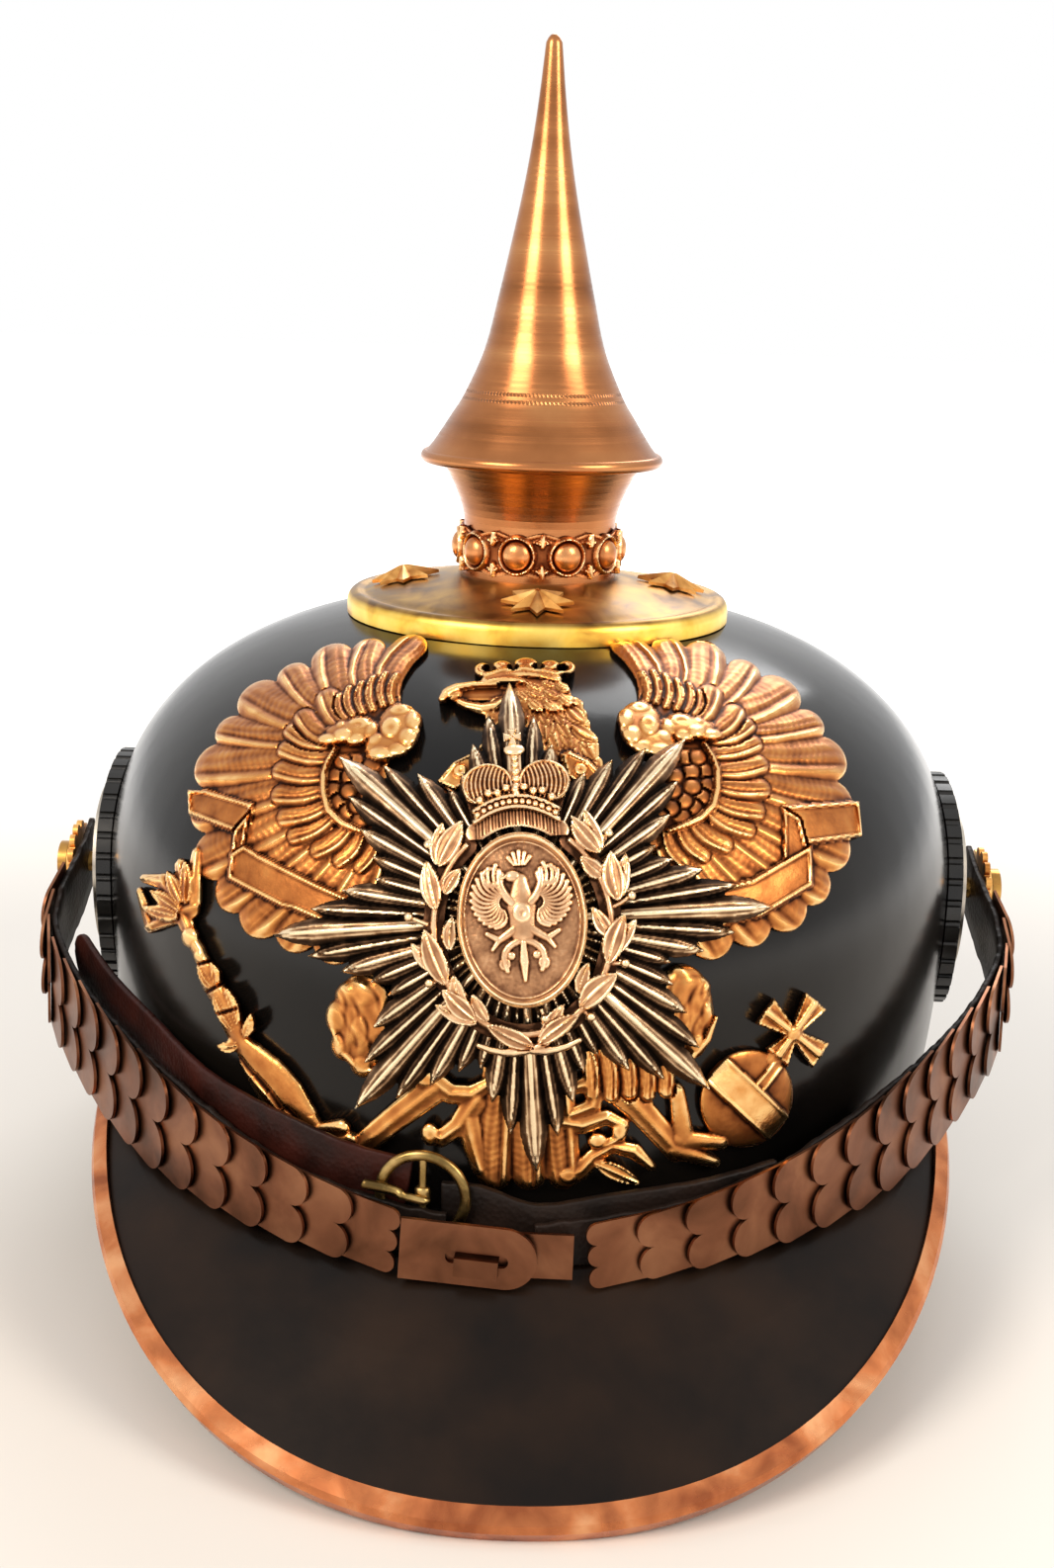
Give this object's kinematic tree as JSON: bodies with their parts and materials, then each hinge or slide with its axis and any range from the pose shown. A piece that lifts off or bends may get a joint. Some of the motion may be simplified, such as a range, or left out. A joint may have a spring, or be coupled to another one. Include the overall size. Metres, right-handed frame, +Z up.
{
  "type": "spiked parade helmet",
  "caption": "Lacquered leather parade helmet with a brass spike, front eagle plate with a silver star, brass chin scales and an edged front visor.",
  "frame": {"origin": "centre of the helmet's box on the plane that its visors stand on", "axes": "+Z up through the spike, -Y to the front of the helmet, +X to the right of a viewer who faces the front plate"},
  "size_m": [0.22, 0.3052, 0.2551],
  "materials": {
    "lacquer": "black lacquered leather, glossy",
    "brass": "polished brass with brown patina",
    "spun_brass": "spun tombac brass with fine turning lines",
    "gilt": "stamped and gilt brass, dark in the recesses",
    "scale_brass": "dull brown brass scales",
    "silver": "stamped silver plate, darkened in the recesses",
    "steel": "plain nuts and threads",
    "strap_leather": "dark strap leather with a maroon back",
    "cockade_black": "black lacquered cockade",
    "band_leather": "light brown sweatband leather",
    "silk": "ribbed silk lining"
  },
  "bodies": {
    "root": {"skull": "lacquer", "front_visor": "lacquer", "rear_visor": "lacquer", "front_visor_trim": "brass", "rear_spine": "brass", "spine_studs": "brass", "spine_nuts": "steel", "base_plate": "brass", "base_star_studs": "gilt", "stud_nuts": "steel", "spike_neck": "brass", "boss_band": "gilt", "neck_collar": "brass", "eagle_plate": "gilt", "eagle_posts": "brass", "eagle_nuts": "steel", "star_rays": "silver", "star_wreath": "silver", "star_medallion": "silver", "star_crown": "silver", "star_post": "brass", "star_nut": "steel", "side_post_nuts": "steel", "left_side_post": "brass", "right_side_post": "brass", "left_cockade": "cockade_black", "right_cockade": "cockade_black", "left_cockade_ring": "silver", "right_cockade_ring": "silver", "sweatband": "band_leather", "silk_lining": "silk"},
    "spike_stud_body": {"spike_stud": "steel"},
    "spike": {"spike_shell": "spun_brass", "spike_base": "spun_brass"},
    "left_chin": {"left_scales": "scale_brass", "left_strap": "strap_leather", "left_tongue_plate": "scale_brass", "left_rosette": "gilt", "strap_tail": "strap_leather"},
    "right_chin": {"right_scales": "scale_brass", "right_strap": "strap_leather", "right_hook_plate": "scale_brass", "right_rosette": "gilt", "buckle_frame": "brass", "buckle_strap": "strap_leather"},
    "prong": {"buckle_prong": "brass"}
  },
  "joints": [
    {"name": "spike_lift", "type": "slide", "parent": "root", "child": "spike_stud_body", "axis": [0, 0, 1], "range_m": [0, 0.01]},
    {"name": "spike_turn", "type": "hinge", "parent": "spike_stud_body", "child": "spike", "pos_m": [0, 0, 0.162], "axis": [0, 0, 1], "range_deg": [0, 2880]},
    {"name": "left_chin_swing", "type": "hinge", "parent": "root", "child": "left_chin", "pos_m": [0, -0.002, 0.07], "axis": [-1, 0, 0], "range_deg": [0, 2.2]},
    {"name": "right_chin_swing", "type": "hinge", "parent": "root", "child": "right_chin", "pos_m": [0, -0.002, 0.07], "axis": [-1, 0, 0], "range_deg": [0, 2.2]},
    {"name": "prong_swing", "type": "hinge", "parent": "right_chin", "child": "prong", "pos_m": [-0.01769, -0.1112, 0.0428], "axis": [0, 0, 1], "range_deg": [0, 12]}
  ],
  "couplings": [
    {"joint": "spike_lift", "follows": "spike_turn", "m_per_rad": 0.00019894},
    {"joint": "left_chin_swing", "follows": "right_chin_swing", "ratio": 1}
  ]
}
